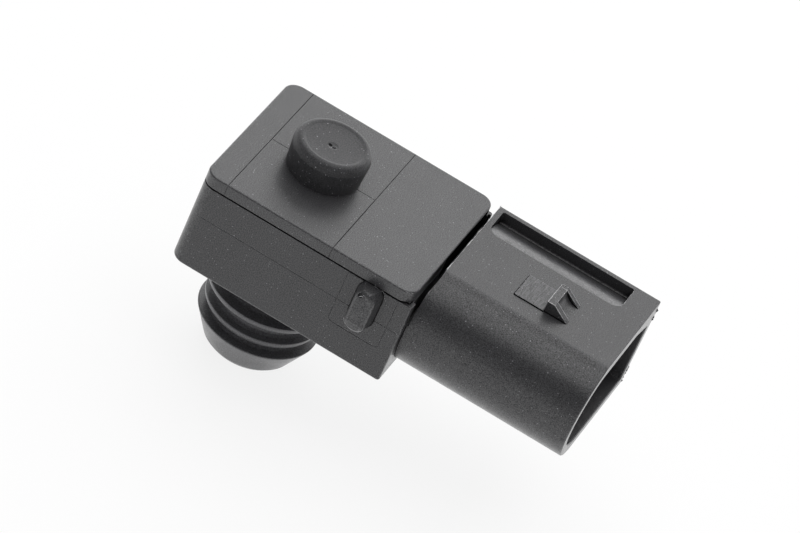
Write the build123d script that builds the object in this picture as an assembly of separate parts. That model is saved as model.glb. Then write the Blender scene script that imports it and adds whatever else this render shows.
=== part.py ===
from build123d import *
import os

# Brake booster pressure sensor, in millimetres, +Z up.
# The origin is on the plug axis, at the underside of the housing.
# The connector mouth faces +X. The side lug is on the -Y side.

# Housing body
body_length = 24.3
body_depth = 20.2
body_height = 10.1            # underside to the seam below the lid
plug_from_end = 8.7           # closed end to the plug axis
wall = 1.5
floor_thickness = 1.6
closed_corner_radius = 1.5
open_corner_radius = 0.3
bottom_edge_radius = 0.3
seam_height = 0.2             # dark line below the lid
seam_width = 0.5
glue_width = 0.7
glue_height = 0.6

# Lid
lid_thickness = 1.3
lid_setback = 0.3             # the lid ends short of the body at the connector end
lid_closed_radius = 1.5
lid_open_radius = 1.4
lid_edge_radius = 0.18
skirt_depth = 1.5
skirt_width = 1.0
skirt_clearance = 0.15
stud_radius = 2.5
stud_height = 2.4

# Fine lines that the mould's inserts leave on the outside
witness_width = 0.07
witness_depth = 0.05
faint_depth = 0.012
lid_insert_half = 6.0         # either side of the plug axis
lid_line_cover = 0.5          # how far the middle line runs in under the cap
parting_height = 6.3          # above the underside
lug_insert_half = 2.85
lug_insert_bottom = 3.5
lug_insert_corner = 0.5

# Rubber cap
cap_radius = 4.1
cap_roof = 1.2
cap_shoulder = 1.0            # fall from the crest of the rim to the sharp edge
cap_crest_radius = 3.35
cap_step_width = 0.35         # from the crest in to the flat dish
cap_step_depth = 0.1
cap_lean = 0.2                # the wall draws in towards the lid
cap_dish_depth = 0.08
cap_dimple_radius = 0.6       # mark of the mould's gate
cap_dimple_depth = 0.1
cap_dimple_y = -0.4           # off the cap's middle
cap_pit_radius = 0.22
cap_pip_radius = 0.28
cap_clearance = 0.05

# Connector shroud
shroud_length = 18.65
shroud_gap = 0.45             # slot between body and shroud
round_side_gap = 0.22         # the slot beside the shroud's round side, below the lid
slot_depth = 3.2              # slot below the lid seam
slot_end_post = 0.45          # what stays of the tray's rim at the slot's far end
shroud_bottom = 0.1           # above the underside of the body
shroud_near_setback = 1.07    # near side, behind the body's front face
shroud_far_setback = 0.2      # far side, ahead of the body's back face
shroud_wall = 1.2
shroud_corner = 0.5
shroud_edge_radius = 0.25
plateau_rise = 0.2            # flat top field, flush with the lid, above the rounded side
step_start = 5.15             # soft step up to the field, from the body's front face
step_width = 1.15
mouth_edge = 0.1
socket_depth = 16.8
groove_start = 0.6            # recess along the far edge of the shroud top
groove_length = 15.25
groove_width = 4.1
groove_depth = 1.5
groove_from_far_edge = 0.7
groove_near_radius = 1.2      # plan corners
groove_far_radius = 0.25
groove_foot_radius = 0.25
groove_start_slope = 0.15

# Latch ramp and the raised pad beside it
latch_from_end = 10.05        # shroud end to the steep face
latch_length = 2.6
latch_flat = 0.78
latch_height = 1.27
latch_width = 3.7
latch_near_rib = 0.7
latch_far_rib = 0.5
latch_hollow = 0.36           # below the ramp, between the ribs
latch_from_far_edge = 7.65
pad_length = 3.3
pad_width = 3.9
pad_height = 0.12
pad_line = 0.1                # fine line sunk round the pad

# Side lug
lug_width = 2.12
lug_height = 4.95
lug_reach = 1.75
lug_from_open_end = 4.33      # lug centre to the body's connector end
lug_below_seam = 0.12
lug_draft = 10.5              # degrees
lug_top_radius = 0.55
lug_bevel_height = 1.1        # at the lower end
lug_bevel_depth = 0.3
lug_bevel_edge = 0.1
lug_dent_radius = 0.3

# Pressure port and its rubber grommet
port_radius = 3.0
port_bore_radius = 1.4
port_length = 11.4
port_barb_radius = 3.5
port_barb_length = 1.6
port_barb_from_tip = 1.2
port_chamfer = 0.5
grommet_clearance = 0.05
grommet_core_radius = 5.2
grommet_collar_radius = 5.6
grommet_collar_height = 1.0
rib_radii = (6.7, 6.2, 6.45)
rib_drops = (4.25, 6.7, 8.45)
rib_edge = 0.14
groove_floor_drop = 0.45      # ring groove floor to the next rib's edge
rib_underside = 1.1           # sharp edge to the foot of the rounded underside
grommet_length = 12.1
grommet_tip_radius = 4.9
grommet_tip_edge = 0.5
grommet_mouth_chamfer = 0.6

# Terminals
blade_width = 1.2
blade_thickness = 0.63
blade_pitch = 4.0
blade_reach = 10.2            # from the socket floor
blade_tip = 0.25
leg_length = 2.6              # lies on the circuit board
blade_notch = 0.25            # anchors the blade in the moulding

# Circuit board
board_thickness = 1.0
board_clearance = 0.3
ledge_width = 1.1
glue_line = 0.15
cell_window_clearance = 0.3

# Pressure cell
cell_size = 7.4
cell_above_board = 0.815
cell_wall = 1.1
cell_shelf = 0.75
cell_bore_radius = 0.8
seal_width = 1.2
lead_width = 0.8
lead_thickness = 0.2
lead_outside = 1.8
lead_inside = 0.55
lead_spread = 2.8
pedestal_clearance = 0.25     # pedestal to the sides of the well
pedestal_height = 1.3
pedestal_bore_radius = 0.45
chip_inset = 0.3              # chip edge inside the pedestal's
chip_thickness = 0.5
chip_below_board = 0.585      # chip top to board top
membrane_share = 0.42         # membrane side to chip side
membrane_thickness = 0.06
wire_radius = 0.05
wire_rise = 0.2
gel_below_rim = 0.15

# Parts on the board
signal_chip_length = 3.0
signal_chip_width = 3.0
signal_chip_height = 1.0
signal_chip_stand = 0.1
signal_chip_leg = 0.4
signal_chip_legs = 4
capacitor_length = 1.6
capacitor_width = 0.8
capacitor_height = 0.7
capacitor_band = 0.3
solder_width = 0.45
solder_height = 0.35

# Derived places
closed_end = -plug_from_end
open_end = body_length - plug_from_end
front_face = -body_depth / 2
back_face = body_depth / 2
inner_closed = closed_end + wall
inner_open = open_end - wall
inner_front = front_face + wall
inner_back = back_face - wall
lid_top = body_height + lid_thickness
lid_end = open_end - lid_setback
shroud_start = open_end + shroud_gap
shroud_end = shroud_start + shroud_length
shroud_near = front_face + shroud_near_setback
shroud_far = back_face - shroud_far_setback
shroud_height = lid_top - plateau_rise - shroud_bottom
round_radius = shroud_height / 2
round_y = shroud_near + round_radius
round_z = shroud_bottom + round_radius
step_y = front_face + step_start
plateau_y = step_y + step_width
plateau_top = lid_top
socket_floor = shroud_end - socket_depth
blade_z = round_z
blade_middle = (shroud_near + shroud_far) / 2
blade_places = [blade_middle + k * blade_pitch for k in (-1, 0, 1)]
board_top = blade_z - blade_thickness / 2
board_bottom = board_top - board_thickness
ledge_top = board_bottom - glue_line
pedestal_size = cell_size - 2 * (cell_wall + cell_shelf + pedestal_clearance)
chip_size = pedestal_size - 2 * chip_inset
membrane_size = chip_size * membrane_share
cell_bottom = floor_thickness + glue_line
cell_top = board_top + cell_above_board
chip_top = board_top - chip_below_board
chip_bottom = chip_top - chip_thickness
pedestal_bottom = chip_bottom - pedestal_height
gel_top = cell_top - gel_below_rim


def block(x0, x1, y0, y1, z0, z1):
    """A plain block between two opposite corners."""
    centre = ((x0 + x1) / 2, (y0 + y1) / 2, (z0 + z1) / 2)
    return Pos(*centre) * Box(x1 - x0, y1 - y0, z1 - z0)


def rod(radius, z0, z1, x=0.0, y=0.0):
    """An upright cylinder between two heights."""
    return Pos(x, y, (z0 + z1) / 2) * Cylinder(radius, z1 - z0)


def across(x):
    """The plane that cuts the shroud at distance x, drawn in Y and Z."""
    return Plane(origin=(x, 0, 0), x_dir=(0, 1, 0), z_dir=(1, 0, 0))


def turned(points):
    """A ring turned about the plug axis from radius and height points."""
    face = make_face(Polyline(*[(r, 0, z) for r, z in points], close=True))
    return revolve(face, axis=Axis.Z)


def rounded_plan(x0, x1, y0, y1, closed_radius, open_radius):
    """A plan outline with its own corner radius at each end."""
    sheet = Pos((x0 + x1) / 2, (y0 + y1) / 2) * Rectangle(x1 - x0, y1 - y0)
    corners = sheet.vertices().group_by(Axis.X)
    sheet = fillet(corners[0], closed_radius)
    corners = [v for v in sheet.vertices() if v.X > x1 - 0.001]
    return fillet(corners, open_radius) if open_radius > 0 else sheet


def shroud_section(x):
    """Outline of the shroud: round near side, soft step up to the flat field, square far side."""
    bottom = round_z - round_radius
    run = round_y - step_y
    rise = (round_radius ** 2 - run ** 2) ** 0.5
    step_foot = (step_y, round_z + rise)
    outline = [
        Line((round_y, bottom), (shroud_far, bottom)),
        Line((shroud_far, bottom), (shroud_far, plateau_top)),
        Line((shroud_far, plateau_top), (plateau_y, plateau_top)),
        Spline((plateau_y, plateau_top), step_foot, tangents=[(-1, 0), (-1, -run / rise)]),
        ThreePointArc(step_foot, (round_y - round_radius, round_z), (round_y, bottom)),
    ]
    sheet = make_face(outline)
    corners = sheet.vertices().group_by(Axis.X)[-1]
    return across(x) * fillet(corners, shroud_edge_radius)


def socket_section(x):
    """Section of the space inside the shroud, cut back below the long recess."""
    radius = round_radius - shroud_wall
    top = round_z + radius
    bottom = round_z - radius
    far = shroud_far - shroud_wall
    slope_start = shroud_far - groove_from_far_edge - groove_width - shroud_wall / 2
    slope_end = plateau_top - groove_depth - shroud_wall
    outline = [
        Line((round_y, bottom), (far, bottom)),
        Line((far, bottom), (far, slope_end)),
        Line((far, slope_end), (slope_start, top)),
        Line((slope_start, top), (round_y, top)),
        ThreePointArc((round_y, top), (round_y - radius, round_z), (round_y, bottom)),
    ]
    sheet = make_face(outline)
    corners = [v for v in sheet.vertices() if v.X > far - 0.001]
    return across(x) * fillet(corners, shroud_corner)


def make_tray():
    """The open box below the lid, with its ledge and the step for the adhesive."""
    plan = rounded_plan(
        closed_end, open_end, front_face, back_face, closed_corner_radius, open_corner_radius,
    )
    tray = extrude(plan, body_height)
    tray = fillet(tray.faces().sort_by(Axis.Z)[0].edges(), bottom_edge_radius)
    seat = offset(plan, -seam_width, kind=Kind.INTERSECTION)
    tray -= Pos(0, 0, body_height - seam_height) * extrude(plan - seat, seam_height)
    tray -= block(inner_closed, inner_open, inner_front, inner_back, ledge_top, body_height)
    tray -= block(
        inner_closed + ledge_width, inner_open - ledge_width,
        inner_front + ledge_width, inner_back - ledge_width, floor_thickness, ledge_top,
    )
    tray -= block(
        inner_closed - glue_width, inner_open + glue_width,
        inner_front - glue_width, inner_back + glue_width, body_height - glue_height, body_height,
    )
    tray -= block(
        lid_end, open_end, shroud_near, back_face - slot_end_post,
        body_height - slot_depth, body_height,
    )
    return tray


def make_shroud():
    """The connector shroud, joined to the body below the slot."""
    shroud = extrude(shroud_section(shroud_start), shroud_length)
    lip = extrude(shroud_section(open_end + round_side_gap), shroud_gap - round_side_gap)
    lip &= block(open_end, shroud_start, front_face, round_y, 0, body_height)
    shroud += lip
    neck = extrude(shroud_section(inner_open), shroud_start - inner_open)
    neck &= block(inner_open, shroud_start, front_face, back_face, 0, body_height - slot_depth)
    return shroud + neck


def make_groove():
    """The long recess on the shroud top: a soft slope down to an upright far wall."""
    far = shroud_far - groove_from_far_edge
    near = far - groove_width
    start = shroud_start + groove_start
    foot = plateau_top - groove_depth
    outline = [
        TangentArc((near, plateau_top), (far, foot), tangent=(1, -groove_start_slope)),
        Line((far, foot), (far, plateau_top + 1)),
        Line((far, plateau_top + 1), (near, plateau_top + 1)),
        Line((near, plateau_top + 1), (near, plateau_top)),
    ]
    sheet = make_face(outline)
    sheet = fillet(sheet.vertices().sort_by(Axis.Y)[0], groove_foot_radius)
    groove = extrude(across(start) * sheet, groove_length)
    plan = Pos(start + groove_length / 2, (near + far) / 2) * Rectangle(groove_length, groove_width)
    plan = fillet(plan.vertices().group_by(Axis.Y)[0], groove_near_radius)
    plan = fillet([v for v in plan.vertices() if v.Y > far - 0.001], groove_far_radius)
    return groove & Pos(0, 0, foot - 1) * extrude(plan, groove_depth + 3)


def make_latch():
    """The catch for the plug: a ramp of two ribs, hollow towards the mouth."""
    steep = shroud_start + latch_from_end
    toe = steep + latch_length
    top = plateau_top + latch_height
    root = plateau_top - shroud_wall / 4
    far = shroud_far - latch_from_far_edge
    near = far - latch_width
    side = Polyline(
        (steep, root), (steep, top), (steep + latch_flat, top), (toe, plateau_top), (toe, root), close=True,
    )
    plane = Plane(origin=(0, far, 0), x_dir=(1, 0, 0), z_dir=(0, -1, 0))
    latch = extrude(plane * make_face(side), latch_width)
    run = toe - steep - latch_flat
    length = (run ** 2 + latch_height ** 2) ** 0.5
    lowest = (
        toe - run / 2 - latch_hollow * latch_height / length,
        plateau_top + latch_height / 2 - latch_hollow * run / length,
    )
    hollow = make_face([
        ThreePointArc((steep + latch_flat, top), lowest, (toe, plateau_top)),
        Line((toe, plateau_top), (toe, top)),
        Line((toe, top), (steep + latch_flat, top)),
    ])
    plane = Plane(origin=(0, far - latch_far_rib, 0), x_dir=(1, 0, 0), z_dir=(0, -1, 0))
    return latch - extrude(plane * hollow, latch_width - latch_near_rib - latch_far_rib)


def make_pad(grow, low, high):
    """The flat pad behind the latch, or with some growth the line sunk round it."""
    steep = shroud_start + latch_from_end
    middle = shroud_far - latch_from_far_edge - latch_width / 2
    half = pad_width / 2 + grow
    return block(steep - pad_length - grow, steep, middle - half, middle + half, low, high)


def make_lug():
    """The upright rounded lug on the front face, drafted, and bevelled at its lower end."""
    x = open_end - lug_from_open_end
    top = body_height - lug_below_seam
    z = top - lug_height / 2
    reach = front_face - lug_reach
    plane = Plane(origin=(x, reach, z), x_dir=(1, 0, 0), z_dir=(0, 1, 0))
    slot = plane * SlotOverall(lug_height, lug_width, rotation=90)
    lug = extrude(slot, lug_reach + wall / 3, taper=-lug_draft)
    front = lug.faces().sort_by(Axis.Y)[0]
    lug = fillet(front.edges().sort_by(Axis.Z)[-1], lug_top_radius)
    lug &= block(x - lug_height, x + lug_height, reach, front_face + wall, 0, top)
    foot = z - lug_height / 2
    slope = lug_bevel_depth / lug_bevel_height
    bevel = Plane(origin=(x - lug_width, 0, 0), x_dir=(0, 1, 0), z_dir=(1, 0, 0))
    cut = Polyline(
        (reach, foot + lug_bevel_height), (reach, foot - 1), (reach + lug_bevel_depth + slope, foot - 1),
        close=True,
    )
    lug -= extrude(bevel * make_face(cut), lug_width * 2)
    bevelled = lug.faces().filter_by(lambda f: f.normal_at().Y < -0.9).sort_by(Axis.Z)[0]
    lug = chamfer(bevelled.edges().filter_by(Axis.X, reverse=True), lug_bevel_edge)
    dent = Pos(x - lug_width / 4, reach, top - lug_top_radius) * Sphere(lug_dent_radius)
    return lug - dent


def make_housing_lines():
    """Parting line along the front face and the outline of the insert round the lug."""
    near = front_face - 1
    faint = front_face + faint_depth
    deep = front_face + witness_depth
    half = witness_width / 2
    x = open_end - lug_from_open_end
    top = body_height - seam_height
    plane = Plane(origin=(x, faint, 0), x_dir=(1, 0, 0), z_dir=(0, -1, 0))
    middle = (lug_insert_bottom + top) / 2
    sheets = []
    for grow in (half, -half):
        height = top - lug_insert_bottom + 2 * grow
        sheet = Pos(0, middle) * Rectangle(2 * (lug_insert_half + grow), height)
        sheets.append(fillet(sheet.vertices().group_by(Axis.Y)[0], lug_insert_corner + grow))
    lines = extrude(plane * (sheets[0] - sheets[1]), 1)
    lines &= block(closed_end, open_end, near, 0, 0, top)
    lines += block(closed_end, open_end, near, faint, parting_height - half, parting_height + half)
    left = x - lug_insert_half + lug_insert_corner
    right = x + lug_insert_half - lug_insert_corner
    for height in (lug_insert_bottom, parting_height):
        lines += block(left, right, near, deep, height - half, height + half)
    return lines


def make_lid_lines():
    """Lines of the two inserts that meet at the cap, over the top and down the front edge."""
    low = lid_top - witness_depth
    half = witness_width / 2
    lines = block(-lid_insert_half, lid_insert_half, -half, half, low, lid_top + 1)
    lines -= rod(cap_radius - lid_line_cover, low, lid_top + 1)
    for x in (-lid_insert_half, lid_insert_half):
        lines += block(x - half, x + half, front_face, back_face, low, lid_top + 1)
        lines += block(x - half, x + half, front_face - 1, front_face + faint_depth, body_height, lid_top)
    return lines


def make_port():
    """The pressure port below the body, with the barb that holds the grommet."""
    tip = -port_length
    barb_low = tip + port_barb_from_tip
    barb_high = barb_low + port_barb_length
    return turned([
        (0, 0.5), (port_radius, 0.5), (port_radius, barb_high),
        (port_barb_radius, barb_high - 0.4), (port_radius, barb_low),
        (port_radius, tip + port_chamfer), (port_radius - port_chamfer, tip), (0, tip),
    ])


def make_housing(terminals):
    """Tray, shroud, latch, lug and port as one moulding."""
    tray = make_tray() - make_housing_lines()
    shroud = make_shroud() - make_groove()
    shroud -= make_pad(pad_line, plateau_top - pad_line, plateau_top)
    shroud += make_latch() + make_pad(0, plateau_top - pad_line, plateau_top + pad_height)
    housing = tray + shroud + make_lug() + make_port()
    housing -= extrude(socket_section(socket_floor), socket_depth + 1)
    housing -= rod(port_bore_radius, -port_length - 1, floor_thickness + 1)
    for blade in terminals:
        housing -= blade
    mouth = [e for e in housing.edges().group_by(Axis.X)[-1] if e.length > 1.0]
    return chamfer(mouth, mouth_edge)


def make_blade(y):
    """One blade: tip in the socket, notched shank in the wall, leg on the board."""
    tip = socket_floor + blade_reach
    leg = inner_open - board_clearance - leg_length
    half = blade_width / 2
    low = blade_z - blade_thickness / 2
    high = blade_z + blade_thickness / 2
    blade = block(leg, tip, y - half, y + half, low, high)
    tip_edges = blade.faces().sort_by(Axis.X)[-1].edges()
    blade = chamfer(tip_edges, blade_tip)
    shank = (inner_open + open_end) / 2
    for side in (-1, 1):
        edge = y + side * half
        blade -= block(shank - 0.3, shank + 0.3, edge - blade_notch, edge + blade_notch, low - 1, high + 1)
    return blade


def make_lid():
    """Cover plate with its locating skirt and the stud for the rubber cap."""
    plan = rounded_plan(closed_end, lid_end, front_face, back_face, lid_closed_radius, lid_open_radius)
    lid = Pos(0, 0, body_height) * extrude(plan, lid_thickness)
    lid = fillet(lid.faces().sort_by(Axis.Z)[-1].edges(), lid_edge_radius)
    gap = skirt_clearance
    skirt_low = body_height - skirt_depth
    skirt = block(
        inner_closed + gap, inner_open - gap, inner_front + gap, inner_back - gap, skirt_low, body_height,
    )
    inset = gap + skirt_width
    skirt -= block(
        inner_closed + inset, inner_open - inset, inner_front + inset, inner_back - inset,
        skirt_low - 1, body_height,
    )
    stud = rod(stud_radius, lid_top - 0.5, lid_top + stud_height)
    stud = chamfer(stud.faces().sort_by(Axis.Z)[-1].edges(), 0.3)
    return lid - make_lid_lines() + skirt + stud


def make_lid_adhesive():
    """Bead between the step of the tray and the lid."""
    low = body_height - glue_height
    bead = block(
        inner_closed - glue_width, inner_open + glue_width,
        inner_front - glue_width, inner_back + glue_width, low, body_height,
    )
    gap = skirt_clearance
    return bead - block(
        inner_closed + gap, inner_open - gap, inner_front + gap, inner_back - gap, low - 1, body_height + 1,
    )


def make_cap():
    """Low rubber cap over the stud: rounded lip, shallow dish, and the mark of the mould's gate."""
    roof = lid_top + stud_height
    crest = roof + cap_roof
    edge = crest - cap_shoulder
    bore = stud_radius + cap_clearance
    dish_radius = cap_crest_radius - cap_step_width
    dish_edge = crest - cap_step_depth
    middle = dish_edge - cap_dish_depth
    section = make_face([
        Spline((0, middle), (dish_radius, dish_edge), tangents=[(1, 0), (1, 0.1)]),
        Spline((dish_radius, dish_edge), (cap_crest_radius, crest), tangents=[(1, 0.1), (1, 0)]),
        Spline((cap_crest_radius, crest), (cap_radius, edge), tangents=[(1, 0), (0.25, -1)]),
        Polyline((cap_radius, edge), (cap_radius - cap_lean, lid_top), (bore, lid_top), (bore, roof)),
        Polyline((bore, roof), (0, roof), (0, middle)),
    ])
    cap = revolve(Plane.XZ * section, axis=Axis.Z)
    ball = (cap_dimple_radius ** 2 + cap_dimple_depth ** 2) / (2 * cap_dimple_depth)
    bottom = middle - cap_dimple_depth
    cap -= Pos(0, cap_dimple_y, bottom + ball) * Sphere(ball)
    cap -= Pos(-cap_dimple_radius / 2, cap_dimple_y, bottom) * Sphere(cap_pit_radius)
    pip = Pos(cap_dimple_radius / 3, cap_dimple_y, bottom - cap_pip_radius / 2) * Sphere(cap_pip_radius)
    return cap + pip


def make_grommet():
    """Rubber plug on the port: a collar, three sharp ribs and a tapered end."""
    bore = port_radius + grommet_clearance
    barb = port_barb_radius + grommet_clearance
    barb_low = port_barb_from_tip - port_length
    barb_high = barb_low + port_barb_length
    tip = -grommet_length
    core = grommet_core_radius
    collar = grommet_collar_radius
    foot = (core, -grommet_collar_height - 0.4)
    outline = [Polyline((bore, 0), (collar, 0), (collar, -grommet_collar_height), foot)]
    for radius, drop in zip(rib_radii, rib_drops):
        edge = (radius, -drop - rib_edge)
        outline.append(Polyline(
            foot, (core, groove_floor_drop - drop), (core + 0.35, groove_floor_drop * 0.45 - drop),
            (radius, -drop), edge,
        ))
        foot = (core, -drop - rib_underside)
        outline.append(Spline(edge, foot, tangents=[(0, -1), (-1, -0.3)]))
    outline[-1] = Polyline(
        edge, (grommet_tip_radius, tip + grommet_tip_edge), (grommet_tip_radius - grommet_tip_edge, tip),
        (bore + grommet_mouth_chamfer, tip), (bore, tip + grommet_mouth_chamfer),
        (bore, barb_low), (barb, barb_high - 0.4), (bore, barb_high), (bore, 0),
    )
    return revolve(Plane.XZ * make_face(outline), axis=Axis.Z)


def make_board():
    """Circuit board with its window for the pressure cell."""
    gap = board_clearance
    board = block(
        inner_closed + gap, inner_open - gap, inner_front + gap, inner_back - gap, board_bottom, board_top,
    )
    half = cell_size / 2 + cell_window_clearance
    window = block(-half, half, -half, half, board_bottom - 1, board_top + 1)
    return board - fillet(window.edges().filter_by(Axis.Z), 0.5)


def make_board_adhesive():
    """Strip on the ledge, under the board's rim."""
    gap = board_clearance
    inner = ledge_width
    strip = block(
        inner_closed + gap, inner_open - gap, inner_front + gap, inner_back - gap, ledge_top, board_bottom,
    )
    return strip - block(
        inner_closed + inner, inner_open - inner, inner_front + inner, inner_back - inner,
        ledge_top - 1, board_bottom + 1,
    )


def lead_places():
    """Side and distance of each of the four cell leads."""
    return [(side, k * lead_spread / 2) for side in (-1, 1) for k in (-1, 1)]


def make_leads():
    """Four flat leads from the shelf in the cup to the board."""
    edge = cell_size / 2
    leads = []
    for side, y in lead_places():
        ends = sorted((side * (edge - cell_wall - lead_inside), side * (edge + lead_outside)))
        half = lead_width / 2
        leads.append(block(ends[0], ends[1], y - half, y + half, board_top, board_top + lead_thickness))
    return leads


def make_cup(leads):
    """Moulded cup of the cell, with a shelf for the leads and a bore through its floor."""
    half = cell_size / 2
    cup = block(-half, half, -half, half, cell_bottom, cell_top)
    cup = fillet(cup.edges().filter_by(Axis.Z), 0.5)
    mouth = half - cell_wall
    cup -= block(-mouth, mouth, -mouth, mouth, board_top, cell_top + 1)
    well = mouth - cell_shelf
    cup -= block(-well, well, -mouth, mouth, pedestal_bottom, board_top)
    cup -= rod(cell_bore_radius, cell_bottom - 1, pedestal_bottom + 1)
    for lead in leads:
        cup -= lead
    return cup


def make_cell_adhesive():
    """Sealing ring between the cup and the floor, round the port bore."""
    ring = rod(port_bore_radius + seal_width, floor_thickness, cell_bottom)
    return ring - rod(port_bore_radius, floor_thickness - 1, cell_bottom + 1)


def make_pedestal():
    """Glass block with the pressure channel through it."""
    half = pedestal_size / 2
    glass = block(-half, half, -half, half, pedestal_bottom, chip_bottom)
    return glass - rod(pedestal_bore_radius, pedestal_bottom - 1, chip_bottom + 1)


def make_pressure_chip():
    """Silicon chip, etched from below to a thin square membrane."""
    half = chip_size / 2
    chip = block(-half, half, -half, half, chip_bottom, chip_top)
    depth = chip_thickness - membrane_thickness
    opening = membrane_size + 2 * depth * 0.7
    pit = Pos(0, 0, chip_bottom) * Rectangle(opening, opening)
    floor_sheet = Pos(0, 0, chip_bottom + depth) * Rectangle(membrane_size, membrane_size)
    return chip - loft([pit, floor_sheet])


def make_wires():
    """One arched wire from the chip to each lead."""
    wires = []
    for side, y in lead_places():
        start = (side * (chip_size / 2 - 0.2), y * 0.7, chip_top)
        end = (side * (cell_size / 2 - cell_wall - lead_inside / 2), y, board_top + lead_thickness)
        top = ((start[0] + end[0]) / 2, (start[1] + end[1]) / 2, end[2] + wire_rise)
        path = ThreePointArc(start, top, end)
        section = Plane(origin=start, z_dir=path % 0) * Circle(wire_radius)
        wire = sweep(section, path=path)
        wire &= block(-cell_size, cell_size, -cell_size, cell_size, chip_top, cell_top)
        foot = block(end[0] - 0.3, end[0] + 0.3, end[1] - 0.3, end[1] + 0.3, end[2] - 1, end[2])
        wires.append(wire - foot)
    return wires


def make_gel(others):
    """Gel that fills the cup round the chip, its wires and the leads."""
    mouth = cell_size / 2 - cell_wall
    well = mouth - cell_shelf
    gel = block(-mouth, mouth, -mouth, mouth, board_top, gel_top)
    gel += block(-well, well, -mouth, mouth, pedestal_bottom, board_top)
    for piece in others:
        gel -= piece
    half = pedestal_size / 2
    gel -= block(-half, half, -half, half, pedestal_bottom, chip_bottom)
    half = chip_size / 2
    return gel - block(-half, half, -half, half, chip_bottom, chip_top)


def make_signal_chip():
    """Conditioning chip with its bent legs, midway between the cell's leads and the blades."""
    x = (cell_size / 2 + lead_outside + inner_open - board_clearance - leg_length) / 2
    low = board_top + signal_chip_stand
    chip = block(
        x - signal_chip_width / 2, x + signal_chip_width / 2,
        -signal_chip_length / 2, signal_chip_length / 2, low, low + signal_chip_height,
    )
    chip = chamfer(chip.faces().sort_by(Axis.Z)[-1].edges(), signal_chip_height * 0.15)
    pitch = signal_chip_length / signal_chip_legs
    bend = low + signal_chip_height / 2
    for side in (-1, 1):
        for k in range(signal_chip_legs):
            y = (k + 0.5) * pitch - signal_chip_length / 2
            inner = x + side * (signal_chip_width / 2 - 0.1)
            knee = x + side * (signal_chip_width / 2 + 0.3)
            toe = knee + side * signal_chip_leg
            half = pitch * 0.17
            thick = 0.2
            back = knee - side * thick
            chip += block(*sorted((inner, knee)), y - half, y + half, bend - thick, bend)
            chip += block(*sorted((back, knee)), y - half, y + half, board_top, bend)
            chip += block(*sorted((back, toe)), y - half, y + half, board_top, board_top + thick)
    return chip


def make_capacitor(x, y):
    """Chip capacitor along Y, a little thicker at its metal ends."""
    top = board_top + capacitor_height
    half = capacitor_length / 2
    body = block(
        x - capacitor_width / 2 + 0.03, x + capacitor_width / 2 - 0.03, y - half, y + half,
        board_top + 0.03, top - 0.03,
    )
    for side in (-1, 1):
        ends = sorted((y + side * half, y + side * (half - capacitor_band)))
        body += block(x - capacitor_width / 2, x + capacitor_width / 2, *ends, board_top, top)
    return body


def make_terminal_solder(blades):
    """Solder round the end of each blade's leg."""
    leg = inner_open - board_clearance - leg_length
    joints = []
    for y, blade in zip(blade_places, blades):
        reach = blade_width / 2 + solder_width
        joint = block(
            leg - solder_width, leg + leg_length * 0.6, y - reach, y + reach,
            board_top, board_top + solder_height,
        )
        joint = chamfer(joint.faces().sort_by(Axis.Z)[-1].edges(), solder_height * 0.6)
        joints.append(joint - blade)
    return joints


def make_lead_solder(leads):
    """Solder round the outer end of each cell lead."""
    joints = []
    for (side, y), lead in zip(lead_places(), leads):
        tip = side * (cell_size / 2 + lead_outside)
        inner = tip - side * (lead_outside - cell_window_clearance - 0.2)
        ends = sorted((tip + side * solder_width, inner))
        reach = lead_width / 2 + solder_width * 0.6
        joint = block(*ends, y - reach, y + reach, board_top, board_top + lead_thickness * 0.9)
        joints.append(joint - lead)
    return joints


def save(node, shape):
    """Write one node's STEP file."""
    shape.label = node
    export_step(shape, f"parts/{node}.step")


def main():
    os.makedirs("parts", exist_ok=True)
    blades = [make_blade(y) for y in blade_places]
    leads = make_leads()
    wires = make_wires()
    chip = make_pressure_chip()
    save("housing", make_housing(blades))
    save("lid", make_lid())
    save("lid_adhesive", make_lid_adhesive())
    save("rubber_cap", make_cap())
    save("plug_grommet", make_grommet())
    for node, blade in zip(("supply_terminal", "signal_terminal", "ground_terminal"), blades):
        save(node, blade)
    save("circuit_board", make_board())
    save("board_adhesive", make_board_adhesive())
    save("cell_cup", make_cup(leads))
    save("cell_adhesive", make_cell_adhesive())
    save("cell_leads", Compound(children=leads))
    save("glass_pedestal", make_pedestal())
    save("pressure_chip", chip)
    save("bond_wires", Compound(children=wires))
    save("protective_gel", make_gel([chip, *leads, *wires]))
    save("signal_chip", make_signal_chip())
    capacitor_x = inner_open - board_clearance - capacitor_width
    for node, side in (("supply_capacitor", -1), ("signal_capacitor", 1)):
        save(node, make_capacitor(capacitor_x, blade_middle + side * blade_pitch / 2))
    board_back = inner_back - board_clearance
    save("filter_capacitor", make_capacitor(0, (board_back + cell_size / 2 + cell_window_clearance) / 2))
    save("terminal_solder", Compound(children=make_terminal_solder(blades)))
    save("lead_solder", Compound(children=make_lead_solder(leads)))


main()
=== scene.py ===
import math
import random

import bpy
from mathutils import Matrix, Vector


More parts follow.
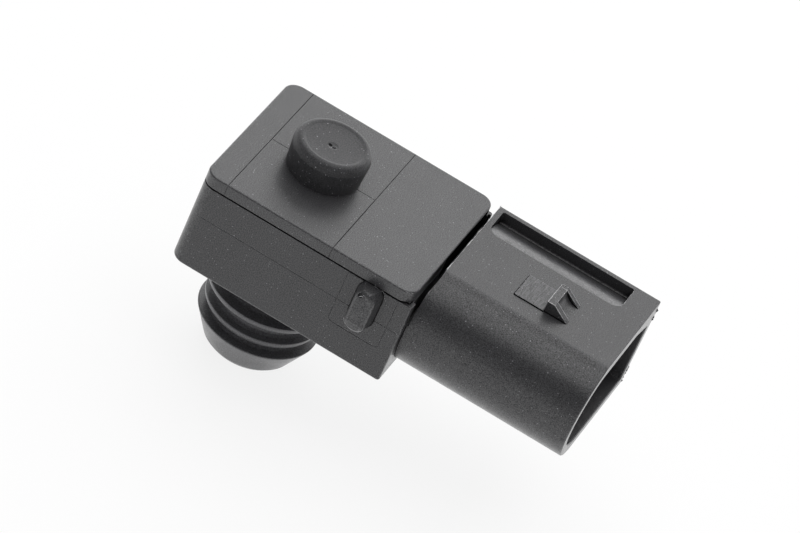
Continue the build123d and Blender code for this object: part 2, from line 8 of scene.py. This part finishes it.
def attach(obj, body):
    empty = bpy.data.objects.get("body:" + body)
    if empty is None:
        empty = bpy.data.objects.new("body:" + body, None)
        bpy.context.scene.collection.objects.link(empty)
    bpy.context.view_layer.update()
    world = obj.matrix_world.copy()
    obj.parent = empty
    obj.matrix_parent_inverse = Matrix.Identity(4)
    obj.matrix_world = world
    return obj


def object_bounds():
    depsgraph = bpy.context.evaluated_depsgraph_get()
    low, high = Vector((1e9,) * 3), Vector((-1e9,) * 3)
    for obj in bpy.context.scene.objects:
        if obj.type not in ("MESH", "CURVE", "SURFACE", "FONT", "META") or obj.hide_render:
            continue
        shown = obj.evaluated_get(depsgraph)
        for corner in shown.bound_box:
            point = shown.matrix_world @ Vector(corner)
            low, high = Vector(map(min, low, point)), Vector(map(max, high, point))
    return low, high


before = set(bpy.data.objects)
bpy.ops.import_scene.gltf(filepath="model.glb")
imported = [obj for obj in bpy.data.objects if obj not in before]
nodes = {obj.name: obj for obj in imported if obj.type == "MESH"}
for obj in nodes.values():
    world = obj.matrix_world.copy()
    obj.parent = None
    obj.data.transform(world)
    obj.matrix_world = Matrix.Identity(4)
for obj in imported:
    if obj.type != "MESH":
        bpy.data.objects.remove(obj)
cad_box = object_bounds()
MM = 0.001


# Node helpers for the procedural materials

BEVEL_SAMPLES = 6
HOLLOW_SAMPLES = 8


def grey(value):
    """A grey with a trace of blue."""
    return (value, value * 0.995, value * 1.05)


class Shader:
    """One material under construction, with short calls for the nodes that it needs."""

    def __init__(self, name):
        self.material = bpy.data.materials.new(name)
        self.material.use_nodes = True
        self.tree = self.material.node_tree
        self.tree.nodes.clear()
        self.output = self.node("OutputMaterial")
        self.principled = self.node("BsdfPrincipled")
        self.link(self.principled.outputs[0], self.output.inputs["Surface"])
        self.place = self.node("TexCoord").outputs["Object"]
        self.normal = None

    def node(self, kind):
        return self.tree.nodes.new("ShaderNode" + kind)

    def link(self, source, target):
        self.tree.links.new(source, target)

    def set(self, **values):
        """Constants on the shader's own sockets; an underscore stands for a space."""
        for key, value in values.items():
            self.principled.inputs[key.replace("_", " ")].default_value = value

    def feed(self, socket_name, source):
        self.link(source, self.principled.inputs[socket_name])

    # Numbers and colours

    def math(self, operation, a, b):
        node = self.node("Math")
        node.operation = operation
        for socket, value in zip(node.inputs, (a, b)):
            if isinstance(value, (int, float)):
                socket.default_value = value
            else:
                self.link(value, socket)
        return node.outputs[0]

    def times(self, *factors):
        product = factors[0]
        for factor in factors[1:]:
            product = self.math("MULTIPLY", product, factor)
        return product

    def rest_of(self, fac):
        return self.math("SUBTRACT", 1.0, fac)

    def ramp(self, fac, low, high):
        """Maps fac from low=(input, output) to high=(input, output), clamped."""
        node = self.node("MapRange")
        node.inputs["From Min"].default_value = low[0]
        node.inputs["From Max"].default_value = high[0]
        node.inputs["To Min"].default_value = low[1]
        node.inputs["To Max"].default_value = high[1]
        self.link(fac, node.inputs["Value"])
        return node.outputs["Result"]

    def sweep(self, noise, low=0.0, high=1.0):
        """Maps the usual span of a noise to low and high."""
        return self.ramp(noise, (0.3, low), (0.7, high))

    def mix(self, fac, a, b):
        """Colour mix; fac, a and b are sockets, numbers or colours."""
        node = self.node("Mix")
        node.data_type = "RGBA"
        for socket, value in zip((node.inputs["Factor"], node.inputs[6], node.inputs[7]), (fac, a, b)):
            if isinstance(value, (int, float)):
                socket.default_value = value
            elif isinstance(value, (tuple, list)):
                socket.default_value = (*value, 1.0)[:4]
            else:
                self.link(value, socket)
        return node.outputs[2]

    def split(self, vector):
        node = self.node("SeparateXYZ")
        self.link(vector, node.inputs[0])
        return node.outputs

    # Patterns

    def noise(self, size_mm, detail=2.0, rough=0.5, stretch=(1, 1, 1)):
        """Noise whose features are about size_mm across."""
        node = self.node("TexNoise")
        node.inputs["Scale"].default_value = 1.0
        node.inputs["Detail"].default_value = detail
        node.inputs["Roughness"].default_value = rough
        mapping = self.node("Mapping")
        scale = 1 / (size_mm * MM)
        mapping.inputs["Scale"].default_value = [scale * s for s in stretch]
        self.link(self.place, mapping.inputs["Vector"])
        self.link(mapping.outputs[0], node.inputs["Vector"])
        return node.outputs["Fac"]

    def specks(self, size_mm, share, radius_mm):
        """1 in the middle of scattered dots, 0 outside; share is the part of the cells that hold one."""
        cells = self.node("TexVoronoi")
        cells.inputs["Scale"].default_value = 1 / (size_mm * MM)
        self.link(self.place, cells.inputs["Vector"])
        reach = radius_mm / size_mm
        dot = self.ramp(cells.outputs["Distance"], (reach * 0.5, 1.0), (reach, 0.0))
        split = self.node("SeparateColor")
        self.link(cells.outputs["Color"], split.inputs[0])
        chosen = self.math("GREATER_THAN", split.outputs[0], 1 - share)
        return self.times(dot, chosen)

    def dust(self, strength, fine, coarse):
        """Dust in two sizes of dots, each given as (cell size, share, radius)."""
        return self.times(self.math("MAXIMUM", self.specks(*fine), self.specks(*coarse)), strength)

    def grained(self, base, grain, span, share, dark, pale):
        """base, with a share of dark where the grain is low and of pale where it is high."""
        low, high = span
        darker = self.mix(share, base, grey(dark))
        paler = self.mix(share, base, grey(pale))
        return self.mix(self.ramp(grain, (low, 0.0), (high, 1.0)), darker, paler)

    def band(self, axis, low_mm, high_mm, soft_mm=0.05):
        """1 between two places along an axis of the part, 0 outside."""
        value = self.split(self.place)[axis]
        rise = self.ramp(value, ((low_mm - soft_mm) * MM, 0.0), ((low_mm + soft_mm) * MM, 1.0))
        fall = self.ramp(value, ((high_mm - soft_mm) * MM, 1.0), ((high_mm + soft_mm) * MM, 0.0))
        return self.times(rise, fall)

    def inside(self, *spans):
        """1 inside a box given by its spans along X, Y and Z, 0 outside."""
        return self.times(*(self.band(axis, *span) for axis, span in enumerate(spans)))

    # Patterns that follow the shape

    def rounded_normal(self, radius_mm):
        node = self.node("Bevel")
        node.samples = BEVEL_SAMPLES
        node.inputs["Radius"].default_value = radius_mm * MM
        return node.outputs[0]

    def edges(self, radius_mm, low=0.02, high=0.12):
        """1 along the sharp edges, where the rounded normal leaves the true one."""
        dot = self.node("VectorMath")
        dot.operation = "DOT_PRODUCT"
        self.link(self.rounded_normal(radius_mm), dot.inputs[0])
        self.link(self.node("NewGeometry").outputs["Normal"], dot.inputs[1])
        return self.ramp(self.rest_of(dot.outputs["Value"]), (low, 0.0), (high, 1.0))

    def worn_and_highlit_edges(self, radius_mm, patch_mm, low, high):
        """1 along the sharp edges, weaker in patches; low and high are those of ramp."""
        return self.times(self.edges(radius_mm), self.ramp(self.noise(patch_mm, 3.0, 0.7), low, high))

    def hollows(self, reach_mm, low, high, same_piece=True):
        """1 in narrow lines and inner corners, which light from within reach_mm can't fill."""
        node = self.node("AmbientOcclusion")
        node.samples = HOLLOW_SAMPLES
        node.only_local = same_piece
        node.inputs["Distance"].default_value = reach_mm * MM
        return self.ramp(node.outputs["AO"], (low, 1.0), (high, 0.0))

    # Surface

    def soften(self, radius_mm):
        """Rounds the look of sharp edges by radius_mm."""
        self.normal = self.rounded_normal(radius_mm)
        self.feed("Normal", self.normal)

    def bump(self, height, depth_mm, strength=1.0):
        node = self.node("Bump")
        node.inputs["Strength"].default_value = strength
        node.inputs["Distance"].default_value = depth_mm * MM
        self.link(height, node.inputs["Height"])
        if self.normal:
            self.link(self.normal, node.inputs["Normal"])
        self.normal = node.outputs[0]
        self.feed("Normal", self.normal)


# Materials

# The slot between the lid and the shroud, along X, Y and Z in mm: painted shade makes its depth dark and
# dull
SLOT_SHADE_BOX = ((13.6, 15.8), (-2.0, 9.3, 0.15), (8.5, 11.2))


def moulded_plastic(name, shade, rough, edge_mm, edge_wear_and_highlight, ior=1.5, pad=None):
    """Black glass-filled plastic: fine grain, pale edges that are partly wear and partly painted
    highlight, painted shade in narrow lines, inner corners and the slot, and fine dust.

    pad is the box, along X, Y and Z in mm, of a rubbed place with streaks.
    """
    wear_and_highlight_grey = grey(0.42)
    rubbed_grey = grey(0.16)
    painted_shade_black = grey(0.004)
    s = Shader(name)
    s.set(IOR=ior)
    cloud = s.noise(3.2, 3.0, 0.55)
    flow = s.noise(0.9, 4.0, 0.6)
    grain = s.noise(0.1, 1.0, 0.6)
    base = s.mix(s.sweep(cloud), grey(shade * 0.9), grey(shade * 1.1))
    base = s.grained(base, grain, (0.34, 0.66), 0.22, shade * 0.2, shade * 2.3)

    # Painted shade: the box of the slot is painted near black, and its reflection is dulled
    slot_shade = s.inside(*SLOT_SHADE_BOX)
    # Painted shade: narrow grooves, inner corners, deep gaps between pieces and the slot are painted near
    # black, where shade falls
    line = s.math("MAXIMUM", s.hollows(0.12, 0.86, 0.97), s.hollows(1.2, 0.2, 0.5, False))
    line = s.math("MAXIMUM", line, slot_shade)
    # Pale edges: partly wear, partly painted highlight along the sharp edges; none where the painted
    # shade lies
    wear_and_highlight = s.times(s.worn_and_highlit_edges(0.07, 0.5, (0.38, 0.25), (0.62, 1.0)), s.rest_of(line))
    base = s.mix(s.times(wear_and_highlight, edge_wear_and_highlight), base, wear_and_highlight_grey)
    base = s.mix(s.dust(0.6, (0.3, 0.25, 0.05), (1.0, 0.6, 0.07)), base, wear_and_highlight_grey)
    if pad:
        streaks = s.noise(0.16, 3.0, 0.6, (1, 0.12, 1))
        rubbed = s.times(s.inside(*pad), s.ramp(streaks, (0.42, 0.0), (0.66, 0.5)))
        base = s.mix(rubbed, base, rubbed_grey)
    # Painted shade: the line mask paints the shaded hollows near black
    s.feed("Base Color", s.mix(line, base, painted_shade_black))

    s.feed("Roughness", s.sweep(flow, rough - 0.04, rough + 0.04))
    gloss = s.ramp(grain, (0.34, 0.19), (0.66, 0.81))
    # Painted shade: the same mask, and the slot, also dull the reflection
    s.feed("Specular IOR Level", s.times(gloss, s.rest_of(s.times(line, 0.9)), s.rest_of(slot_shade)))
    s.soften(edge_mm)
    s.bump(grain, 0.006, 0.6)
    s.bump(cloud, 0.03, 0.2)
    return s.material


def moulded_rubber(name, shade, rough, edge_mm, dust_share, edge_wear_and_highlight, gloss=0.5):
    """Black rubber with a matte bloom, pale edges that are partly wear and partly painted highlight, and
    dust.
    """
    wear_and_highlight_grey = grey(0.3)
    dust_grey = grey(0.4)
    s = Shader(name)
    s.set(IOR=1.5, Specular_IOR_Level=gloss)
    cloud = s.noise(2.0, 4.0, 0.6)
    grain = s.noise(0.13, 3.0, 0.65)
    base = s.mix(s.sweep(cloud), grey(shade * 0.8), grey(shade * 1.25))
    base = s.grained(base, grain, (0.38, 0.68), 0.5, shade * 0.3, shade * 2.4)
    # Pale edges: partly wear, partly painted highlight along the sharp edges
    wear_and_highlight = s.worn_and_highlit_edges(0.08, 0.6, (0.4, 0.3), (0.6, 1.0))
    base = s.mix(s.times(wear_and_highlight, edge_wear_and_highlight), base, wear_and_highlight_grey)
    dust = s.dust(0.8, (0.3, dust_share, 0.05), (0.8, dust_share * 2, 0.07))
    s.feed("Base Color", s.mix(dust, base, dust_grey))
    s.feed("Roughness", s.sweep(cloud, rough - 0.05, rough + 0.07))
    s.soften(edge_mm)
    s.bump(grain, 0.012, 0.7)
    return s.material


def bright_metal(name, colour, rough, streak=(1, 12, 12)):
    """Plated sheet metal with fine drawn streaks."""
    s = Shader(name)
    s.set(Metallic=1.0)
    streaks = s.noise(1.2, 4.0, 0.6, streak)
    cloud = s.noise(1.5, 3.0, 0.5)
    dull = tuple(c * 0.72 for c in colour)
    s.feed("Base Color", s.mix(s.sweep(cloud), dull, colour))
    s.feed("Roughness", s.sweep(streaks, rough - 0.07, rough + 0.1))
    s.soften(0.06)
    s.bump(streaks, 0.004, 0.5)
    return s.material


def board_laminate():
    """Green solder mask over tracks that run under it, with a faint glass weave."""
    mask_dark = (0.006, 0.085, 0.032)
    mask_light = (0.01, 0.11, 0.045)
    track_green = (0.03, 0.2, 0.06)
    track_pitch_mm = 2.4
    s = Shader("board_laminate")
    tracks = s.node("TexBrick")
    tracks.offset = 0.5
    tracks.inputs["Scale"].default_value = 1 / (track_pitch_mm * MM)
    tracks.inputs["Mortar Size"].default_value = 0.12
    tracks.inputs["Mortar Smooth"].default_value = 0.1
    s.link(s.place, tracks.inputs["Vector"])
    weave = s.noise(0.35, 2.0, 0.5, (1, 4, 1))
    mask = s.mix(s.sweep(weave), mask_dark, mask_light)
    s.feed("Base Color", s.mix(tracks.outputs["Fac"], mask, track_green))
    s.set(Roughness=0.32)
    s.bump(tracks.outputs["Fac"], 0.03, 0.6)
    return s.material


def soft_or_hard(name, colour, rough, size_mm=0.8, change=0.18, depth_mm=0.01, **values):
    """A plain material with its own small changes of shade and a fine surface."""
    s = Shader(name)
    s.set(**values)
    cloud = s.noise(size_mm, 4.0, 0.6)
    fine = s.noise(size_mm * 0.15, 2.0, 0.6)
    dark = tuple(c * (1 - change) for c in colour)
    light = tuple(min(c * (1 + change), 1.0) for c in colour)
    s.feed("Base Color", s.mix(s.sweep(cloud), dark, light))
    s.feed("Roughness", s.sweep(fine, rough * 0.85, rough * 1.2))
    s.bump(fine, depth_mm, 0.5)
    return s.material


rubbed_pad = ((22.8, 26.1), (-1.55, 2.35), (11.48, 12.48))
housing_plastic = moulded_plastic("housing_plastic", 0.036, 0.34, 0.06, 0.45, 1.48, rubbed_pad)
lid_plastic = moulded_plastic("lid_plastic", 0.04, 0.34, 0.06, 0.12, 1.53)
cap_rubber = moulded_rubber("cap_rubber", 0.035, 0.5, 0.06, 0.3, 0.5, 0.33)
grommet_rubber = moulded_rubber("grommet_rubber", 0.08, 0.38, 0.25, 0.05, 0.1)
sealant = soft_or_hard("sealant", (0.05, 0.05, 0.055), 0.45, 1.2)
terminal_metal = bright_metal("terminal_metal", (0.72, 0.69, 0.62), 0.25)
lead_metal = bright_metal("lead_metal", (0.66, 0.6, 0.5), 0.3)
board_material = board_laminate()
cell_plastic = soft_or_hard("cell_plastic", (0.03, 0.03, 0.032), 0.5, 1.5)
pedestal_glass = soft_or_hard(
    "pedestal_glass", (0.75, 0.85, 0.85), 0.08, 1.0, 0.05, 0.002, Transmission_Weight=0.7, IOR=1.47)
silicon = soft_or_hard("silicon", (0.12, 0.13, 0.16), 0.16, 0.6, 0.3, 0.002, Metallic=0.6)
wire_gold = bright_metal("wire_gold", (0.9, 0.66, 0.26), 0.2, (1, 1, 1))
soft_gel = soft_or_hard(
    "soft_gel", (0.8, 0.8, 0.76), 0.08, 1.5, 0.04, 0.01, Transmission_Weight=0.8, IOR=1.41)
chip_plastic = soft_or_hard("chip_plastic", (0.02, 0.02, 0.021), 0.55, 0.6)
ceramic = soft_or_hard("ceramic", (0.33, 0.2, 0.11), 0.45, 0.5)
solder = soft_or_hard("solder", (0.62, 0.62, 0.62), 0.28, 0.5, 0.15, 0.02, Metallic=1.0)
# Pale grey for mould flash, and for ridges that are painted highlights
flash_and_highlight_plastic = soft_or_hard("flash_and_highlight_plastic", (0.52, 0.52, 0.53), 0.4, 0.3)

dress = {
    "housing": housing_plastic,
    "lid": lid_plastic,
    "rubber_cap": cap_rubber,
    "plug_grommet": grommet_rubber,
    "lid_adhesive": sealant,
    "board_adhesive": sealant,
    "cell_adhesive": sealant,
    "supply_terminal": terminal_metal,
    "signal_terminal": terminal_metal,
    "ground_terminal": terminal_metal,
    "cell_leads": lead_metal,
    "circuit_board": board_material,
    "cell_cup": cell_plastic,
    "glass_pedestal": pedestal_glass,
    "pressure_chip": silicon,
    "bond_wires": wire_gold,
    "protective_gel": soft_gel,
    "signal_chip": chip_plastic,
    "supply_capacitor": ceramic,
    "signal_capacitor": ceramic,
    "filter_capacitor": ceramic,
    "terminal_solder": solder,
    "lead_solder": solder,
}
for node, material in dress.items():
    mesh = nodes[node].data
    mesh.materials.clear()
    mesh.materials.append(material)


# Flash left by the mould, torn edges, and pale ridges painted as highlights; all places are in mm

def add_piece(name, points, faces, material):
    """A new piece that belongs to the part, from points in mm."""
    mesh = bpy.data.meshes.new(name)
    mesh.from_pydata([p * MM for p in points], [], faces)
    mesh.materials.append(material)
    piece = bpy.data.objects.new(name, mesh)
    bpy.context.scene.collection.objects.link(piece)
    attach(piece, "root")


def flakes(name, places, size_mm, spread_mm, material, seed):
    """Small torn flakes strung along pairs of points; each pair comes with its number of flakes."""
    rng = random.Random(seed)
    points = []
    faces = []
    for start, end, count in places:
        start = Vector(start)
        end = Vector(end)
        for k in range(count):
            middle = start.lerp(end, (k + rng.random()) / count)
            middle += Vector([rng.uniform(-spread_mm, spread_mm) for _ in range(3)])
            size = size_mm * rng.uniform(0.4, 1.3)
            along = (end - start).normalized() * size
            first = len(points)
            points.append(middle - along * rng.uniform(0.4, 1.0))
            points.append(middle + along * rng.uniform(0.4, 1.0))
            for _ in range(2):
                points.append(middle + Vector([rng.uniform(-0.5, 0.5) * size for _ in range(3)]))
            a, b, c, d = range(first, first + 4)
            faces += [(a, b, c), (a, c, d), (a, d, b), (b, d, c)]
    add_piece(name, points, faces, material)


def burr_and_highlight_lines(name, lines, width_mm, material, seed):
    """Thin uneven ridges along lines of points: mould flash, and pale ridges painted as edge highlights.
    """
    step_mm = 0.12
    shift_mm = 0.012
    sides = 5
    thinnest = 0.15
    end_share = 0.2
    upright = Vector((0.2, 0.6, 0.75)).normalized()
    rng = random.Random(seed)
    points = []
    faces = []
    for line in lines:
        corners = [Vector(p) for p in line]
        path = []
        for start, end in zip(corners, corners[1:]):
            count = max(2, round((end - start).length / step_mm))
            path += [start.lerp(end, k / count) for k in range(count)]
        path.append(corners[-1])
        last = len(path) - 1
        thick = 0.7
        first = len(points)
        for k, middle in enumerate(path):
            thick = min(1.0, max(thinnest, thick + rng.uniform(-0.3, 0.3)))
            reach = width_mm / 2 * thick * (end_share if k in (0, last) else 1.0)
            along = (path[min(k + 1, last)] - path[max(k - 1, 0)]).normalized()
            across = along.cross(upright).normalized()
            other = along.cross(across)
            shift = across * rng.uniform(-shift_mm, shift_mm)
            for j in range(sides):
                turn = math.tau * j / sides
                points.append(middle + shift + (across * math.cos(turn) + other * math.sin(turn)) * reach)
        for k in range(last):
            for j in range(sides):
                a = first + k * sides + j
                b = first + k * sides + (j + 1) % sides
                faces.append((a, b, b + sides, a + sides))
        faces.append(tuple(range(first + sides - 1, first - 1, -1)))
        faces.append(tuple(range(len(points) - sides, len(points))))
    add_piece(name, points, faces, material)


# The latch: two ribs that rise from a toe to a crest, joined by a steep end

latch_low = 11.4
latch_top = 12.67
latch_steep = 26.1
latch_crest = 26.88
latch_toe = 28.68
near_rib = (-1.42, -0.72)
far_rib = (1.72, 2.22)
latch_lines = []
for near, far in (near_rib, far_rib):
    latch_lines += [
        [(latch_toe, near, latch_low), (latch_crest, near, latch_top), (latch_steep, near, latch_top)],
        [(latch_toe, far, latch_low), (latch_crest, far, latch_top)],
    ]
latch_lines += [
    [(latch_steep, near_rib[0], latch_top), (latch_steep, far_rib[1], latch_top)],
    [(latch_steep, far_rib[1], latch_top), (latch_crest, far_rib[1], latch_top)],
    [(latch_crest, near_rib[1], latch_top), (latch_crest, far_rib[0], latch_top)],
]
# Pale ridges along the latch's edges: partly mould flash, partly painted highlight of the lit edges
burr_and_highlight_lines("latch_burr_and_highlight", latch_lines, 0.07, flash_and_highlight_plastic, 3)
flakes("latch_flash_and_highlight", [
    ((26.12, -1.42, latch_top), (26.12, 2.22, latch_top), 16),
    ((26.86, -1.42, latch_top), (26.86, 2.22, latch_top), 12),
    ((26.12, -1.42, latch_top), (26.86, -1.42, latch_top), 5),
    ((26.12, 2.22, latch_top), (26.86, 2.22, latch_top), 5),
], 0.11, 0.02, flash_and_highlight_plastic, 3)

pad_top = 11.5
flakes("pad_flash", [
    ((22.78, -1.55, pad_top), (26.0, -1.55, pad_top), 18),
    ((22.76, -1.5, pad_top), (22.76, 2.3, pad_top), 14),
    ((22.8, 2.36, pad_top), (25.9, 2.36, pad_top), 9),
], 0.07, 0.03, flash_and_highlight_plastic, 5)

# Torn edge of the mouth, at its far side
flakes("mouth_flash", [
    ((34.69, 9.84, 8.8), (34.69, 9.84, 9.4), 12),
    ((34.69, 9.84, 9.8), (34.69, 9.84, 10.3), 9),
    ((34.66, 9.86, 0.2), (34.66, 9.86, 2.2), 24),
], 0.3, 0.04, housing_plastic, 7)

# The front face's seam beside the lug, its lower corner at the shroud, and the lid's edge above it
flakes("seam_flash", [
    ((11.3, -10.13, 10.02), (12.6, -10.13, 9.95), 12),
    ((12.4, -10.12, 9.9), (12.95, -10.12, 9.1), 9),
    ((14.95, -10.1, 6.5), (15.5, -10.1, 6.2), 4),
    ((13.9, -10.1, 6.62), (14.1, -10.1, 6.6), 1),
    ((15.56, -10.05, 6.3), (15.58, -10.08, 8.0), 5),
    ((14.3, -10.04, 11.36), (15.0, -9.7, 11.36), 9),
], 0.07, 0.02, flash_and_highlight_plastic, 11)

# The lug's round lower rim, which leans back on its bevel, and the ridge on its face, with pale lines
# painted there as highlights
lug_middle = 11.27
lug_radius = 1.1
lug_centre = 6.09
lug_face = -11.8
bevel_start = 6.13
bevel_slope = 0.28
arc_steps = 10
lug_arc = []
for k in range(arc_steps + 1):
    turn = math.pi + math.pi * k / arc_steps
    z = lug_centre + lug_radius * math.sin(turn)
    y = lug_face + bevel_slope * max(0.0, bevel_start - z)
    lug_arc.append((lug_middle + lug_radius * math.cos(turn), y, z))
lug_ridge = [
    (10.62, -11.76, 9.15),
    (10.85, lug_face, 9.42),
    (11.12, lug_face, 9.5),
    (11.35, lug_face, 9.2),
    (11.72, lug_face, 9.06),
]
# Painted highlight: a pale line along the recess's end
recess_end = [(31.9, 9.0, 11.39), (31.9, 5.6, 11.39)]
# Painted highlight: a pale line along the shroud's start edge at the slot
slot_edge = [(16.04, 9.9, 11.4), (16.04, 2.0, 11.4), (16.04, -3.8, 11.4)]
burr_and_highlight_lines("edge_highlight", [lug_arc, lug_ridge, recess_end], 0.09, flash_and_highlight_plastic, 13)
burr_and_highlight_lines("slot_edge_highlight", [slot_edge], 0.12, flash_and_highlight_plastic, 19)


# Floor, light and camera

def make_floor():
    """White floor; what a glossy face mirrors of it is brighter behind the part than before it."""
    half_width = 3.0
    before = (-0.03, 1.35)
    behind = (0.03, 1.7)
    camera_share = 0.85
    glossy_share = 0.9
    z = cad_box[0].z
    corners = [(x * half_width, y * half_width, z) for x, y in ((-1, -1), (1, -1), (1, 1), (-1, 1))]
    mesh = bpy.data.meshes.new("floor")
    mesh.from_pydata(corners, [], [(0, 1, 2, 3)])
    floor = bpy.data.objects.new("floor", mesh)
    bpy.context.scene.collection.objects.link(floor)
    s = Shader("floor_white")
    s.set(Base_Color=(0.92, 0.92, 0.92, 1.0), Roughness=0.9, Specular_IOR_Level=0.1)
    ray = s.node("LightPath").outputs
    mirrored = s.ramp(s.split(s.place)[1], before, behind)
    surface = s.principled.outputs[0]
    for kind, strength, share in (
        ("Is Camera Ray", None, camera_share),
        ("Is Glossy Ray", mirrored, glossy_share),
    ):
        glow = s.node("Emission")
        glow.inputs["Color"].default_value = (1, 1, 1, 1)
        glow.inputs["Strength"].default_value = 1.0
        if strength:
            s.link(strength, glow.inputs["Strength"])
        mixed = s.node("MixShader")
        s.link(s.times(ray[kind], share), mixed.inputs[0])
        s.link(surface, mixed.inputs[1])
        s.link(glow.outputs[0], mixed.inputs[2])
        surface = mixed.outputs[0]
    s.link(surface, s.output.inputs["Surface"])
    mesh.materials.append(s.material)


def make_world():
    """A pale room: darker upwards, brighter behind the part."""
    world = bpy.data.worlds.new("world")
    bpy.context.scene.world = world
    world.use_nodes = True
    tree = world.node_tree
    background = tree.nodes["Background"]
    background.inputs["Color"].default_value = (0.985, 0.985, 1.0, 1)
    split = tree.nodes.new("ShaderNodeSeparateXYZ")
    tree.links.new(tree.nodes.new("ShaderNodeTexCoord").outputs["Generated"], split.inputs[0])

    def change(axis, low, high):
        """A smooth change along an axis of the room, from low=(place, output) to high."""
        node = tree.nodes.new("ShaderNodeMapRange")
        node.interpolation_type = "SMOOTHSTEP"
        node.inputs["From Min"].default_value = low[0]
        node.inputs["From Max"].default_value = high[0]
        node.inputs["To Min"].default_value = low[1]
        node.inputs["To Max"].default_value = high[1]
        tree.links.new(split.outputs[axis], node.inputs["Value"])
        return node.outputs["Result"]

    product = tree.nodes.new("ShaderNodeMath")
    product.operation = "MULTIPLY"
    tree.links.new(change("Z", (0.0, 0.8), (0.5, 0.15)), product.inputs[0])
    tree.links.new(change("Y", (-0.2, 1.0), (0.8, 2.0)), product.inputs[1])
    tree.links.new(product.outputs[0], background.inputs["Strength"])


def make_lamp(name, azimuth, elevation, distance, width, height, radiance):
    """A soft box that faces the object; azimuth 0 is behind it, on +Y."""
    data = bpy.data.lights.new(name, "AREA")
    data.shape = "RECTANGLE"
    data.size = width
    data.size_y = height
    data.energy = radiance * math.pi * width * height
    lamp = bpy.data.objects.new(name, data)
    around = math.radians(azimuth)
    up = math.radians(elevation)
    away = Vector((math.sin(around) * math.cos(up), math.cos(around) * math.cos(up), math.sin(up)))
    lamp.location = away * distance
    lamp.rotation_euler = away.to_track_quat("Z", "Y").to_euler()
    lamp.visible_camera = False
    bpy.context.scene.collection.objects.link(lamp)


def make_camera():
    """The photograph's view: far off with a long lens, and rolled."""
    place = (0.092426, -0.468187, 0.365950)
    azimuth, elevation, roll = (math.radians(a) for a in (9.8612, 37.1487, 24.8303))
    right = Vector((math.cos(azimuth), math.sin(azimuth), 0))
    back = Vector((
        math.sin(azimuth) * math.cos(elevation),
        -math.cos(azimuth) * math.cos(elevation),
        math.sin(elevation),
    ))
    up = back.cross(right)
    x = math.cos(roll) * right + math.sin(roll) * up
    y = math.cos(roll) * up - math.sin(roll) * right
    data = bpy.data.cameras.new("camera")
    data.lens = 270.87
    data.sensor_width = 36
    data.clip_start = 0.01
    data.clip_end = 10
    camera = bpy.data.objects.new("camera", data)
    turn = Matrix((x, y, back)).transposed().to_4x4()
    camera.matrix_world = Matrix.Translation(place) @ turn
    bpy.context.scene.collection.objects.link(camera)
    bpy.context.scene.camera = camera


make_floor()
make_world()
make_lamp("soft_box", azimuth=-10, elevation=76, distance=1.2, width=1.6, height=2.0, radiance=1.8)
make_lamp("back_box", azimuth=-10, elevation=20, distance=1.2, width=1.8, height=0.6, radiance=1.9)
make_camera()
bpy.context.scene.view_settings.view_transform = "Standard"
